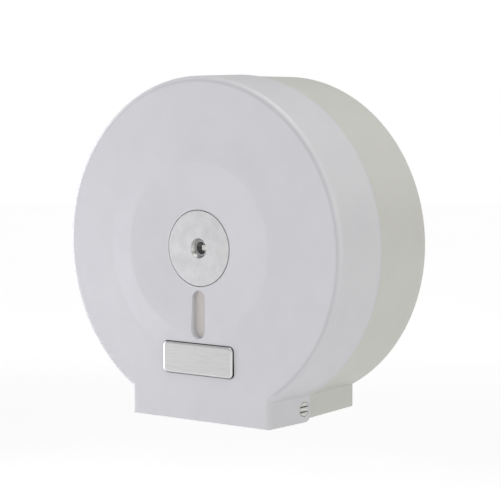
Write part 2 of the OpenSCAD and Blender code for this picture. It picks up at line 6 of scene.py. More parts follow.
import bpy
import numpy as np
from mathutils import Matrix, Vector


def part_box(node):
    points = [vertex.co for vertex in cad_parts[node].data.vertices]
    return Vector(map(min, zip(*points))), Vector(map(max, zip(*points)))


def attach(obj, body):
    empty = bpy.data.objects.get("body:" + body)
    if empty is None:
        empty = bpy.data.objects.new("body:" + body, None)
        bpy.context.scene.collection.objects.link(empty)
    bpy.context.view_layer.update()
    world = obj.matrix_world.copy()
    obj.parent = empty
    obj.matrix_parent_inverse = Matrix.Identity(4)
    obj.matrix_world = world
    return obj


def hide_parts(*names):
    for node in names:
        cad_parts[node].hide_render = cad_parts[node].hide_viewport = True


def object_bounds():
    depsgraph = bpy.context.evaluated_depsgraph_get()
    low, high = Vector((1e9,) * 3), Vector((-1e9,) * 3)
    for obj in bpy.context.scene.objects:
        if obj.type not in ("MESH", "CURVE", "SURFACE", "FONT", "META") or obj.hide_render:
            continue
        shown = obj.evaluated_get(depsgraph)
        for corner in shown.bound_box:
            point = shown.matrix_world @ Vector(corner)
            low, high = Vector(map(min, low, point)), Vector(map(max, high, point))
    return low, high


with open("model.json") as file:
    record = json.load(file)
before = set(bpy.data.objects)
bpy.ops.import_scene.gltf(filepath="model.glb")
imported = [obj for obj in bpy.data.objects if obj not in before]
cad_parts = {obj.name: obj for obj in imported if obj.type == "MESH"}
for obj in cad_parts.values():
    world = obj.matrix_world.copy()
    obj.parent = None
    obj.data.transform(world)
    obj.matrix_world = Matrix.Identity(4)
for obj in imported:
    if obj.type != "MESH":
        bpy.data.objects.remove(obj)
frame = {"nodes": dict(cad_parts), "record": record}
cadLow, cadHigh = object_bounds()
print("frame loaded:", len(frame["nodes"]), "nodes")

mm = 0.001
fit = 0.06         # gap between a bore and what turns in it
fineTurn = 240     # points round a large circle
middleTurn = 120   # points round one the size of the lock
smallTurn = 48     # points round a small one


def frontOf(node):  # how far a node's front lies from the wall
    return -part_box(node)[0].y / mm


def backOf(node):
    return -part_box(node)[1].y / mm


def rightOf(node):
    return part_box(node)[1].x / mm


# Places along the depth that the pieces share, read from the frame
faceOut = frontOf("centre_plate")
seamOut = backOf("front_cover")
catchOut = frontOf("catch_plate")


# Outlines and skins

# Polygon with rounded corners: corner (a, b, radius) becomes the arc that touches both its sides,
# centred on the corner's bisector at radius / sin(half the corner's angle).
def rounded(corners, steps=8):
    points = np.array([c[:2] for c in corners], float)
    result = []
    for i, (a, b, radius) in enumerate(corners):
        here = points[i]
        if radius <= 0:
            result.append(here[None])
            continue
        before = points[i - 1] - here
        after = points[(i + 1) % len(points)] - here
        before /= np.linalg.norm(before)
        after /= np.linalg.norm(after)
        half = np.arccos(np.clip(before @ after, -1, 1)) / 2
        middle = here + (before + after) / np.linalg.norm(before + after) * radius / np.sin(half)
        first = here + before * radius / np.tan(half) - middle
        last = here + after * radius / np.tan(half) - middle
        start = np.arctan2(first[1], first[0])
        sweep = (np.arctan2(last[1], last[0]) - start + pi) % (2 * pi) - pi
        angle = start + sweep * np.linspace(0, 1, steps + 1)
        result.append(middle + radius * np.column_stack([np.cos(angle), np.sin(angle)]))
    return np.concatenate(result)


# Rounded rectangle, drawn in by inset on every side. Every inset gives the same number of points.
def roundRect(width, length, radius, inset=0.0, centre=(0, 0), steps=8):
    w, l = width / 2 - inset, length / 2 - inset
    r = min(max(radius - inset, 0.05), w - 1e-4, l - 1e-4)
    outline = rounded([(-w, -l, r), (w, -l, r), (w, l, r), (-w, l, r)], steps)
    return outline + np.array(centre, float)


# Rings of a lathe shape: every profile point (radius, height) goes once round the height axis.
def lathe(profile, count=fineTurn):
    radius, height = np.asarray(profile, float)[:, :2].T
    angle = np.arange(count) * 2 * pi / count
    across, up = radius[:, None] * np.cos(angle), radius[:, None] * np.sin(angle)
    return np.stack([across, up, np.broadcast_to(height[:, None], up.shape)], -1)


# Rings of a lathe shape whose profile is a closed outline with rounded corners.
def latheRing(corners, count=fineTurn, steps=6):
    return lathe(rounded(corners, steps), count)


# Rings of a flat-sided hoop, with its corners rounded in turn from the inside at the back.
def hoop(inner, outer, low, high, soft=(0, 0, 0, 0), count=fineTurn, steps=6):
    section = zip((inner, outer, outer, inner), (low, low, high, high), soft)
    return latheRing(list(section), count, steps)


# Inset and height of each ring up a slab with quarter-round edges: r - r sin t and r - r cos t.
def edgeLevels(low, high, softLow=0.0, softHigh=0.0, steps=5):
    t = np.linspace(0, pi / 2, steps + 1)
    start, end = [(0.0, low)], [(0.0, high)]
    if softLow > 0:
        start = zip(softLow * (1 - np.sin(t)), low + softLow * (1 - np.cos(t)))
    if softHigh > 0:
        end = zip(softHigh * (1 - np.cos(t)), high - softHigh * (1 - np.sin(t)))
    return [*start, *end]


# Rings of a slab: the outline drawn in at each (inset, height) level.
def slab(outlineAt, levels):
    outlines = np.array([outlineAt(inset) for inset, height in levels])
    heights = np.array([height for inset, height in levels])
    return np.concatenate([outlines, np.broadcast_to(heights[:, None, None], (*outlines.shape[:2], 1))], -1)


def roundSlab(width, length, radius, levels, centre=(0, 0), steps=8):
    return slab(lambda inset: roundRect(width, length, radius, inset, centre, steps), levels)


# A round bar or hole with soft ends.
def disc(radius, low, high, softLow=0.0, softHigh=0.0, centre=(0, 0), count=smallTurn):
    inset, height = np.array(edgeLevels(low, high, softLow, softHigh)).T
    return moved(lathe(np.column_stack([radius - inset, height]), count), centre[0], centre[1])


def moved(rings, across=0.0, up=0.0, out=0.0):
    return rings + np.array([across, up, out], float)


def turned(rings, degrees):  # about the height axis
    c, s = np.cos(radians(degrees)), np.sin(radians(degrees))
    across, up, out = np.moveaxis(rings, -1, 0)
    return np.stack([c * across - s * up, s * across + c * up, out], -1)


def around(rings, angles):
    return [turned(rings, angle) for angle in angles]


def atEach(places, rings):
    return [moved(rings, across, up) for across, up in places]


def alongAcross(rings):  # the height axis becomes the across axis
    return rings[..., [2, 0, 1]]


def alongUp(rings):  # the height axis becomes the up axis
    return rings[..., [1, 2, 0]]


def mirrored(rings):  # left for right, with the rings run backwards to keep the faces outward
    return rings[:, ::-1] * [-1, 1, 1]


def flipped(rings):  # front for back
    return rings[:, ::-1] * [1, 1, -1]


def linked(name, data):
    thing = bpy.data.objects.new(name, data)
    bpy.context.scene.collection.objects.link(thing)
    return thing


# Closed skins over rings of points: point j of ring i joins point j + 1 and ring i + 1. The end rings
# are closed with flat faces, or joined to each other when loop is set. Skins that stay apart share a mesh.
def solid(*skins, loop=False):
    points, faces, start = [], [], 0
    for rings in skins:
        count, size = rings.shape[:2]
        i = np.arange(count if loop else count - 1)[:, None]
        j = np.arange(size)[None, :]
        ahead, beside = (i + 1) % count * size, (j + 1) % size
        quads = np.stack([i * size + j, i * size + beside, ahead + beside, ahead + j], -1)
        faces += (quads.reshape(-1, 4) + start).tolist()
        if not loop:
            faces.append((np.arange(size)[::-1] + start).tolist())
            faces.append((np.arange(size) + (count - 1) * size + start).tolist())
        points.append(rings.reshape(-1, 3))
        start += count * size
    drawn = np.concatenate(points)
    mesh = bpy.data.meshes.new("solid")
    mesh.from_pydata(np.column_stack([drawn[:, 0], -drawn[:, 2], drawn[:, 1]]) * mm, [], faces)
    return linked("solid", mesh)


def ringSolid(*skins):
    return solid(*skins, loop=True)


def box(across, up, out):  # each a (low, high) pair
    c = [(a + b) / 2 for a, b in (across, up, out)]
    w, l = across[1] - across[0], up[1] - up[0]
    outline = np.array([(-w, -l), (w, -l), (w, l), (-w, l)]) / 2 + np.array(c[:2])
    return slab(lambda inset: outline, [(0, out[0]), (0, out[1])])


# Joins, cuts or trims a piece by other solids, in the order given, and keeps the result as its own mesh.
def shaped(piece, *steps):
    tools = []
    for kind, *group in steps:
        for tool in group:
            change = piece.modifiers.new(kind, "BOOLEAN")
            change.operation, change.object, change.solver = kind, tool, "MANIFOLD"
            tools.append(tool)
    mesh = bpy.data.meshes.new_from_object(piece.evaluated_get(bpy.context.evaluated_depsgraph_get()))
    piece.modifiers.clear()
    old, piece.data = piece.data, mesh
    for used in [old, *[tool.data for tool in tools]]:
        bpy.data.meshes.remove(used)
    return piece


# Names, smooths and finishes a piece, and lets it stand for its node on the node's own body.
def place(piece, name, node, material, sharp=32):
    piece.name = piece.data.name = name
    piece.data.materials.clear()
    piece.data.materials.append(material)
    piece.data.shade_smooth()
    piece.data.set_sharp_from_angle(angle=radians(sharp))
    even = piece.modifiers.new("evenShading", "WEIGHTED_NORMAL")
    even.keep_sharp = True
    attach(piece, bodyOf[node])
    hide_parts(node)
    print("  made", name, len(piece.data.polygons), "faces")


bodyOf = {node: body for body, nodes in frame["record"]["behaviour"]["bodies"].items() for node in nodes}


# Finishes

# A material with its Principled shader, and short ways to add and join nodes.
class Finish:
    def __init__(self, name, roughness, metallic=0.0, **sockets):
        self.material = bpy.data.materials.new(name)
        self.material.use_nodes = True
        self.tree = self.material.node_tree
        self.shader = self.tree.nodes["Principled BSDF"]
        self.shader.inputs["Roughness"].default_value = roughness
        self.shader.inputs["Metallic"].default_value = metallic
        for socket, value in sockets.items():
            self.shader.inputs[socket.replace("_", " ")].default_value = value
        self.place = self.add("TexCoord").outputs["Object"]

    def add(self, kind, **inputs):
        node = self.tree.nodes.new("ShaderNode" + kind)
        for socket, value in inputs.items():
            self.feed(node.inputs[socket.replace("_", " ")], value)
        return node

    def feed(self, socket, value):
        if isinstance(value, bpy.types.NodeSocket):
            self.tree.links.new(value, socket)
        else:
            socket.default_value = value

    def noise(self, scale, detail=2.0, roughness=0.5, at=None):
        at = at or self.place
        return self.add("TexNoise", Vector=at, Scale=scale, Detail=detail, Roughness=roughness).outputs["Fac"]

    def range(self, value, low, high, fromLow=0.3, fromHigh=0.7):
        levels = {"From_Min": fromLow, "From_Max": fromHigh, "To_Min": low, "To_Max": high}
        return self.add("MapRange", Value=value, **levels).outputs["Result"]

    def math(self, kind, a, b=0.0):
        node = self.tree.nodes.new("ShaderNodeMath")
        node.operation = kind
        self.feed(node.inputs[0], a)
        self.feed(node.inputs[1], b)
        return node.outputs[0]

    def blend(self, share, first, second):
        node = self.tree.nodes.new("ShaderNodeMix")
        node.data_type = "RGBA"
        self.feed(node.inputs["Factor"], share)
        self.feed(node.inputs["A"], (*first, 1) if isinstance(first, tuple) else first)
        self.feed(node.inputs["B"], (*second, 1) if isinstance(second, tuple) else second)
        return node.outputs["Result"]

    def awayFromMiddle(self, axes=(0, 2)):  # distance from the depth axis, or from another one
        apart = self.add("SeparateXYZ", Vector=self.place)
        square = [self.math("MULTIPLY", apart.outputs[i], apart.outputs[i]) for i in axes]
        return self.math("SQRT", self.math("ADD", *square))

    def tent(self, value, foot, top, end):  # 0 at the foot, 1 at the top, 0 at the end, in millimetres
        rise = self.range(value, 0, 1, foot * mm, top * mm)
        fall = self.range(value, 0, 1, end * mm, top * mm)
        return self.math("MINIMUM", rise, fall)

    def colour(self, value):
        self.feed(self.shader.inputs["Base Color"], value)

    def rough(self, value):
        self.feed(self.shader.inputs["Roughness"], value)

    def bump(self, height, depth, under=None):  # depth in metres
        node = self.add("Bump", Height=height, Distance=depth, Strength=1.0)
        if under is not None:
            self.feed(node.inputs["Normal"], under)
        self.feed(self.shader.inputs["Normal"], node.outputs["Normal"])
        return node.outputs["Normal"]


# Moulded plastic: a fine spark-eroded grain, a slow waviness, and a faint clouding of the colour. On the
# cover's face also a crest bump, and painted shade round the front edge and by the seam.
def moulded(name, grain=0.012, waves=0.05, face=None):
    roughness = 0.4
    finish = Finish(name, roughness)
    clouds = finish.noise(38, 4, 0.6)
    colour = finish.blend(finish.range(clouds, 0, 1), *finishes[name])
    specks = finish.noise(900, 3, 0.6)
    finish.rough(finish.range(specks, roughness - 0.04, roughness + 0.04))
    slow = finish.bump(finish.noise(55, 2), waves * mm)
    if face:
        away = finish.awayFromMiddle()
        slow = finish.bump(finish.tent(away, *face["crest"]), face["crestRise"] * mm, slow)
        # Painted shade: the colour darkens in a band round the front edge fillet and in a band by the seam,
        # on the drum only.
        edgeShaded = finish.math("MULTIPLY", finish.tent(away, *face["edgeShade"]), face["edgeShadeShare"])
        apart = finish.add("SeparateXYZ", Vector=finish.place)
        seam = finish.range(apart.outputs[1], 0, face["seamShadeShare"], *[-v * mm for v in face["seam"]])
        onDrum = finish.range(apart.outputs[2], 0, 1, *[v * mm for v in face["drumAbove"]])
        dark = finish.math("MULTIPLY", finish.math("ADD", edgeShaded, seam), onDrum)
        colour = finish.blend(dark, colour, (0, 0, 0))
    finish.colour(colour)
    finish.bump(specks, grain * mm, slow)
    return finish.material


# Metal with streaks in its colour, roughness and surface, drawn out along the axes of small scale.
def drawnMetal(name, colour, darker, roughness, scale, depth=0.004):
    finish = Finish(name, roughness, 1.0)
    at = finish.add("Mapping", Vector=finish.place, Scale=scale).outputs["Vector"]
    streaks = finish.noise(1, 5, 0.65, at)
    finish.colour(finish.blend(finish.range(streaks, 0, 1), darker, colour))
    finish.rough(finish.range(streaks, roughness + 0.06, roughness - 0.06))
    finish.bump(streaks, depth * mm)
    return finish


finishes = {
    "coverPlastic": ((0.594, 0.590, 0.622), (0.614, 0.610, 0.641)),
    "housingPlastic": ((0.550, 0.550, 0.524), (0.569, 0.569, 0.543)),
    "pinPlastic": ((0.64, 0.64, 0.62), (0.66, 0.66, 0.64)),
    "greyPlastic": ((0.15, 0.155, 0.165), (0.17, 0.175, 0.185)),
    "sheet": ((0.62, 0.63, 0.64), (0.5, 0.51, 0.52)),
    "screw": ((0.62, 0.62, 0.6), (0.5, 0.5, 0.49)),
    "zinc": ((0.5, 0.5, 0.5), (0.38, 0.38, 0.39)),
    "plate": ((0.45, 0.45, 0.448), (0.57, 0.57, 0.567)),
    "badge": ((0.55, 0.55, 0.545), (0.42, 0.42, 0.415)),
    "lens": ((0.93, 0.885, 0.86), (0.95, 0.905, 0.88)),
    "paper": ((0.9, 0.9, 0.9), (0.92, 0.92, 0.92)),
    "spigot": ((0.72, 0.71, 0.68), (0.55, 0.55, 0.53)),
}
# The cover's face: distances from the middle where the crest ring starts, peaks and ends, and the same for
# the painted shade band round the front edge fillet. That band and the painted shade by the seam fade where
# the drum runs out into the base.
coverFace = {"crest": (33, 69, 88), "crestRise": 0.65,
             "edgeShade": (130.0, 131.8, 133.8), "edgeShadeShare": 0.13,
             "seam": (seamOut + 2.2, seamOut + 0.4), "seamShadeShare": 0.09, "drumAbove": (-113, -107)}
coverPlastic = moulded("coverPlastic", face=coverFace)
housingPlastic = moulded("housingPlastic")
pinPlastic = moulded("pinPlastic", grain=0.006, waves=0.02)
greyPlastic = moulded("greyPlastic")
sheetSteel = drawnMetal("sheetSteel", *finishes["sheet"], 0.34, (90, 2400, 2400)).material
screwSteel = drawnMetal("screwSteel", *finishes["screw"], 0.28, (500, 500, 500), 0.002).material
lockZinc = drawnMetal("lockZinc", *finishes["zinc"], 0.42, (420, 420, 420), 0.01).material
spigotSteel = drawnMetal("spigotSteel", *finishes["spigot"], 0.3, (900, 300, 900)).material
print("finishes made")


# Front cover

cover = {
    "radius": rightOf("front_cover"), "wall": 2.5, "sheet": 3.0, "edge": 5.0, "draft": 0.5,
    "crestRadius": 69.0, "crestHeight": frontOf("front_cover") - faceOut, "dishRadius": 33.0,
    "flatFrom": 126.0, "flatBend": 150.0, "crestBend": 90.0, "dishBend": 60.0,
    "halfWidth": 68.65, "low": -137.8, "uprightEdge": 3.0, "toe": 1.5, "heel": 5.0, "fall": 0.77,
    "sideCorner": 0.8, "blockTop": -106.0, "lip": 16.0,
    "pad": 2.0, "padRadius": 34.0, "padEdge": 0.4, "bossRadius": 15.0, "bossOut": 111.0,
    "barrelHole": (8.1, 7.1), "flangeRadius": 12.3, "flangeDepth": 5.2,
    "webOut": 113.0, "webRadius": 81.0, "web": 2.0, "webTurns": 30, "webDraft": 0.15,
    "stakeRadius": 1.4, "lipStakes": (-47.2, 0, 47.2), "studHole": 1.6,
    "discRadius": 30.0, "discGap": 0.5, "discSunk": 1.5, "discStudsIn": 7.0, "discStuds": (90, 210, 330),
    "windowWidth": 12.8, "windowLength": 38.0, "windowDrop": 52.5,
    "lensPad": (15.6, 8.4, 4.0), "lensStakes": (3.6, -3.0),   # past the window's size and its ends
    "plateWidth": 70.0, "plateLength": 25.2, "plateCorner": 4.0, "plateDrop": 88.2,
    "plateGap": 0.45, "plateSunk": 1.0, "plateStuds": (-24.5, 24.5),
    "pinRadius": 5.2, "pinUp": -127.7, "pinOut": 74.1,
}


# The drum's profile: up the drafted side, round the front edge, in along the flat, over the crest and
# down into the dish. The crest and the dish's foot are arcs between straight slopes.
def coverDrum(inset, sheet, start):
    c = cover
    top = faceOut - sheet
    openRadius = c["radius"] - inset
    frontRadius = openRadius - tan(radians(c["draft"])) * (top - seamOut)
    corners = [(0, start, 0), (openRadius, start, 0), (frontRadius, top, max(c["edge"] - inset, 1.0)),
               (c["flatFrom"], top, c["flatBend"]),
               (c["crestRadius"], top + c["crestHeight"], c["crestBend"]),
               (c["dishRadius"], top, c["dishBend"]), (0, top, 0)]
    return lathe(rounded(corners, 12)[1:-1])


# The square base as a loft out from the wall. Every section is a U-shaped outline: its half width and its
# underside are the plain ones, less quarter rounds near the front and the back.
def baseBlock(half, low, top, start, end, lean=0.0, side=0.0, toe=0.0, heel=0.0, fall=0.0, corner=0.05):
    t = np.linspace(0, pi / 2, 9)
    front, back = max(side, toe, 0.05), max(heel, 0.05)
    out = np.concatenate([start + back * (1 - np.cos(t)), end - front * (1 - np.sin(t))])
    fromFront = end - out
    shareBack = fromFront / (end - start)

    def quarter(distance, radius):
        inside = np.clip(radius - distance, 0, radius)
        return radius - np.sqrt(radius ** 2 - inside ** 2)

    halves = half - lean * shareBack - quarter(fromFront, side)
    lows = low + (lean - fall) * shareBack + quarter(fromFront, toe) + quarter(out - start, heel)

    def section(i):
        w, u = halves[i], lows[i]
        return rounded([(-w, top, 0), (-w, u, corner), (w, u, corner), (w, top, 0)], 6)
    return slab(section, list(enumerate(out)))


# A moulded rib: a bar with draft on its sides and a soft free edge, root to the front or to the back.
def rib(length, root, thickness, freeOut, rootOut):
    toRoot = np.sign(rootOut - freeOut)
    levels = [(0.32, freeOut), (0.1, freeOut + 0.12 * toRoot), (0.0, freeOut + 0.4 * toRoot),
              (-0.2, rootOut)]
    if toRoot < 0:
        levels = levels[::-1]

    def outline(inset):
        w = thickness / 2 - 0.1 - inset
        return np.array([(root, -w), (root + length, -w), (root + length, w), (root, w)])
    return slab(outline, levels)


# A post melted over what it holds: a shank with a domed head.
def stake(radius, shankLow, headLow, headHigh):
    t = np.linspace(0, pi / 2, 6)
    head = [(radius + 1.1 * np.cos(a), headLow + 0.25 + (headHigh - headLow - 0.25) * np.sin(a)) for a in t]
    return lathe([(radius, shankLow), (radius, headLow), (radius + 1.0, headLow), *head], 32)


def floorStake(floor):  # one that holds a tear blade down
    return alongUp(stake(cover["stakeRadius"], floor - 0.5, floor + 0.85, floor + 1.8))


def fourPlaces(across, up, drop=0.0):
    return [(x * across, u * up - drop) for x in (-1, 1) for u in (-1, 1)]


def lensStakesAt():
    c = cover
    beside, above = c["lensStakes"]
    return fourPlaces(c["windowWidth"] / 2 + beside, c["windowLength"] / 2 + above, c["windowDrop"])


def barrelOutline(radius, flat):  # a circle cut by two flats
    angle = np.arange(96) * 2 * pi / 96
    return np.column_stack([np.clip(radius * np.cos(angle), -flat, flat), radius * np.sin(angle)])


def makeCover():
    c = cover
    sheetBack = faceOut - c["sheet"]
    floor = c["low"] + c["wall"]
    innerHalf = c["halfWidth"] - c["wall"]
    block = baseBlock(c["halfWidth"], c["low"], c["blockTop"], seamOut, faceOut, side=c["uprightEdge"],
                      toe=c["toe"], heel=c["heel"], fall=c["fall"], corner=c["sideCorner"])
    hollow = baseBlock(innerHalf, floor, c["blockTop"], seamOut - 1, sheetBack, side=0.8, toe=0.8)
    shell = shaped(solid(coverDrum(0, 0, seamOut)), ("UNION", solid(block)),
                   ("DIFFERENCE", solid(coverDrum(c["wall"], c["sheet"], seamOut - 1)), solid(hollow)))

    crown = sheetBack + 1.5
    w, inner, outer = c["web"], c["bossRadius"], c["webRadius"]
    upright = rib(outer - inner, inner - 1, w, c["webOut"], crown)
    ribs = around(upright, [angle for angle in range(0, 360, c["webTurns"]) if angle != 270])
    ringWeb = latheRing([(outer - w, c["webOut"], 0.3), (outer, c["webOut"], 0.3),
                         (outer + c["webDraft"], crown, 0), (outer - w - c["webDraft"], crown, 0)], steps=3)
    padLevels = edgeLevels(sheetBack - 1, sheetBack + c["pad"], c["padEdge"])
    wider, longer, corner = c["lensPad"]
    window, length, drop = c["windowWidth"], c["windowLength"], c["windowDrop"]
    pad = roundSlab(window + wider, length + longer, corner, padLevels, (0, -drop))
    lensStake = flipped(stake(c["stakeRadius"], -sheetBack - 1, 4 - sheetBack, 5 - sheetBack))
    lipStake = moved(floorStake(floor), 0, 0, faceOut - c["lip"] + 4)
    r, out = c["bossRadius"], c["bossOut"]
    boss = lathe([(r - 0.6, out), (r - 0.3, out + 0.2), (r, out + 0.6), (r + 0.2, faceOut - 2)], middleTurn)
    shaped(shell,
           ("UNION", *[solid(skin) for skin in ribs]),
           ("UNION", ringSolid(ringWeb), solid(pad), solid(*atEach(lensStakesAt(), lensStake)),
            solid(*atEach([(x, 0) for x in c["lipStakes"]], lipStake)),
            solid(disc(c["padRadius"], sheetBack - 1, sheetBack + c["pad"], c["padEdge"], count=fineTurn)),
            solid(boss)))

    r = c["discRadius"] + c["discGap"]
    pocket = disc(r, faceOut - c["discSunk"], faceOut + 3, count=fineTurn)
    pocketRim = lathe([(r, faceOut - 0.35), (r + 0.1, faceOut - 0.14),
                       (r + 0.35, faceOut + 0.01), (r + 0.35, faceOut + 3)])
    flare = [(0, sheetBack - 2), (0, faceOut - 0.2), (-0.05, faceOut + 0.05),
             (-0.2, faceOut + 0.25), (-0.5, faceOut + 0.4), (-0.5, faceOut + 4)]
    windowHole = roundSlab(window, length, window / 2, flare, (0, -drop), 14)
    gap = c["plateGap"]
    plateSeat = roundSlab(c["plateWidth"] + 2 * gap, c["plateLength"] + 2 * gap, c["plateCorner"] + gap,
                          [(0, faceOut - c["plateSunk"]), (0, faceOut + 4)], (0, -c["plateDrop"]))
    stud = disc(c["studHole"], sheetBack - 3, faceOut + 1, centre=(c["discRadius"] - c["discStudsIn"], 0))
    studs = around(stud, c["discStuds"])
    plateStud = disc(c["studHole"], c["webOut"], faceOut + 1)
    plateStuds = atEach([(x, -c["plateDrop"]) for x in c["plateStuds"]], plateStud)
    barrelHole = slab(lambda inset: barrelOutline(*c["barrelHole"]),
                      [(0, c["bossOut"] - 1), (0, faceOut + 1)])
    flangeHole = disc(c["flangeRadius"], faceOut - c["flangeDepth"], faceOut + 3, count=middleTurn)
    outlet = box((-innerHalf, innerHalf), (c["low"] - 5, floor + 0.01), (seamOut - 1, faceOut - c["lip"]))
    pin, side = c["pinRadius"], c["halfWidth"]
    bore = alongAcross(lathe([(pin + fit, innerHalf - 1), (pin + fit, side - 1.2), (pin + 0.5, side - 1.0),
                              (pin + 0.8, side - 0.9), (pin + 0.8, side - 0.25), (pin + 0.9, side - 0.08),
                              (pin + 1.1, side + 0.02), (pin + 1.1, side + 2)], 96))
    bore = moved(bore, 0, c["pinUp"], c["pinOut"])
    shaped(shell, ("DIFFERENCE", solid(pocket), solid(pocketRim), solid(flangeHole), solid(barrelHole),
                   solid(*studs), solid(windowHole), solid(plateSeat), solid(*plateStuds), solid(outlet),
                   solid(bore, mirrored(bore))))
    place(shell, "coverShell", "front_cover", coverPlastic)


makeCover()
print("cover made")


# Rear housing

housing = {
    "rim": seamOut - 0.5, "radius": rightOf("rear_housing"), "draft": 1.0, "wall": 2.5, "back": 3.0,
    "halfWidth": 65.55, "low": -136.9, "sill": -133.25, "sillOut": 50.0,
    "lipRadius": 133.0, "lip": 1.8, "lipHang": 4.0, "lipLow": -60.0,
    "rib": 2.0, "ribOut": 7.0, "ribReach": 102.0, "ribTurns": 30, "seatRadius": 33.0, "seatOut": 6.0,
    "slotPitch": 110.0, "slotWidth": 5.5, "slotLength": 11.0, "slotPad": 8.0,
    "earRadius": 8.0, "earEdge": 0.4, "screwRadius": 26.0, "screwHole": 1.6,
}
quarters = range(45, 360, 90)   # the four spindle screws
thirds = range(0, 360, 120)     # the three catch screws


def makeHousing():
    h = housing
    lean = tan(radians(h["draft"])) * h["rim"]

    def drum(inset, start, backEdge):
        rimRadius = h["radius"] - inset
        top = h["rim"] + inset
        corners = [(0, start, 0), (rimRadius - lean, start, backEdge), (rimRadius, top, 0), (0, top, 0)]
        return lathe(rounded(corners, 10)[1:-1])

    def hollow(inset):
        w, low, high = h["halfWidth"] - h["wall"] - inset, h["sill"], cover["blockTop"]
        return np.array([(-w, low), (w, low), (w, high), (-w, high)])

    shell = shaped(
        solid(drum(0, 0, 1.2)),
        ("UNION", solid(baseBlock(h["halfWidth"], h["low"], cover["blockTop"], 0, h["rim"], lean=lean,
                                  heel=0.6, corner=0.8))),
        ("DIFFERENCE", solid(drum(h["wall"], h["back"], 3)),
         solid(slab(hollow, [(lean, h["back"]), (0, h["rim"] + 1)]))))

    r, rim = h["lipRadius"], h["rim"]
    lipRing = hoop(r - h["lip"], r, rim - h["lipHang"], rim + h["lipHang"], (0, 0, 0.7, 0.4))
    lip = shaped(ringSolid(lipRing), ("DIFFERENCE", solid(box((-200, 200), (-200, h["lipLow"]), (0, 100)))))
    r = h["ribReach"]
    backRib = rib(r - h["seatRadius"], h["seatRadius"] - 0.5, h["rib"], h["ribOut"], h["back"] - 1)
    ribs = around(backRib, range(0, 360, h["ribTurns"]))
    ringRib = latheRing([(r - 2.1, h["back"] - 1, 0), (r + 0.1, h["back"] - 1, 0),
                         (r - 0.1, h["ribOut"], 0.4), (r - 1.9, h["ribOut"], 0.4)], steps=3)
    slotsAt = fourPlaces(h["slotPitch"] / 2, h["slotPitch"] / 2)
    width, length, pad = h["slotWidth"], h["slotLength"], h["slotPad"]
    slotPad = roundSlab(length + pad, width + pad, (width + pad) / 2, edgeLevels(0.5, h["seatOut"], 0, 0.5),
                        steps=12)
    inner, outer = h["halfWidth"] - h["wall"], h["halfWidth"]
    up, out = cover["pinUp"], cover["pinOut"]
    reach = h["earRadius"]
    t = np.linspace(-pi / 2, pi / 2, 25)

    def earSide(inset):
        r = reach - inset
        return np.concatenate([[(up + r, h["rim"] - 2), (up - r, h["rim"] - 2)],
                               np.column_stack([up + r * np.sin(t), out + r * np.cos(t)])])
    ear = alongAcross(slab(earSide, edgeLevels(inner, outer, h["earEdge"], h["earEdge"])))
    sillStake = moved(floorStake(h["sill"]), 0, 0, h["sillOut"] - 6)
    shaped(shell,
           ("UNION", lip, *[solid(skin) for skin in ribs], ringSolid(ringRib),
            solid(disc(h["seatRadius"], 0.5, h["seatOut"], 0, 0.5, count=fineTurn)),
            solid(*atEach(slotsAt, slotPad)), solid(ear, mirrored(ear)),
            solid(*atEach([(x, 0) for x in cover["lipStakes"]], sillStake))))

    slot = roundSlab(length, width, width / 2, [(-0.5, -1), (-0.5, 0), (0, 0.5), (0, h["seatOut"] - 0.4),
                                                (-0.4, h["seatOut"]), (-0.4, h["seatOut"] + 2)], steps=12)
    slots = atEach(slotsAt, slot)
    holes = around(disc(h["screwHole"], 1, h["seatOut"] + 1, centre=(h["screwRadius"], 0)), quarters)
    bore = moved(alongAcross(disc(cover["pinRadius"] + fit, inner - 1, outer + 1)), 0, up, out)
    half = inner - lean
    outlet = box((-half, half), (h["low"] - 5, cover["blockTop"]), (h["sillOut"], 2 * h["rim"]))
    shaped(shell, ("DIFFERENCE", solid(*slots), solid(*holes), solid(bore, mirrored(bore)), solid(outlet)))
    place(shell, "housingShell", "rear_housing", housingPlastic)


makeHousing()
print("housing made")


# Round metal plate and the lock in its middle

centreDisc = {
    "radius": cover["discRadius"], "thick": 1.5, "edge": 0.45, "stud": 1.5, "studReach": 3.7,
    "dimple": 8.0, "dimpleDepth": 2.8, "hole": 5.8,
    "ringsPerMetre": 2600, "rings": 0.6, "clouds": 0.4, "ringDepth": 0.003,
}


# Satin metal, faced on a lathe: fine rings round the centre under a faint clouding.
def turnedMetal():
    d = centreDisc
    finish = Finish("satinPlate", 0.45, 1.0)
    radius = finish.awayFromMiddle()
    rings = finish.add("TexNoise", Scale=d["ringsPerMetre"], Detail=3)
    rings.noise_dimensions = "1D"
    finish.feed(rings.inputs["W"], radius)
    clouds = finish.noise(120, 3, 0.6)
    grain = finish.math("MULTIPLY", rings.outputs["Fac"], d["rings"])
    share = finish.math("ADD", grain, finish.math("MULTIPLY", clouds, d["clouds"]))
    finish.colour(finish.blend(finish.range(share, 0, 1, 0.35, 0.65), *finishes["plate"]))
    finish.rough(finish.range(share, 0.5, 0.4, 0.35, 0.65))
    finish.bump(rings.outputs["Fac"], d["ringDepth"] * mm)
    return finish.material


def makeDisc():
    d = centreDisc
    low = faceOut - d["thick"]
    floor = faceOut - d["dimpleDepth"]
    profile = [(d["hole"], floor, 0.2), (d["dimple"], faceOut, 0.4), (d["radius"], faceOut, d["edge"]),
               (d["radius"], low, 0.1), (d["dimple"] + 1, low, 0.5), (d["hole"] + 1.3, floor, 0.1)]
    stud = disc(d["stud"], faceOut - d["studReach"], low + 0.3, 0.3,
                centre=(d["radius"] - cover["discStudsIn"], 0))
    studs = around(stud, cover["discStuds"])
    piece = shaped(ringSolid(latheRing(profile[::-1])), ("UNION", solid(*studs)))
    place(piece, "centreDisc", "centre_plate", turnedMetal())


makeDisc()

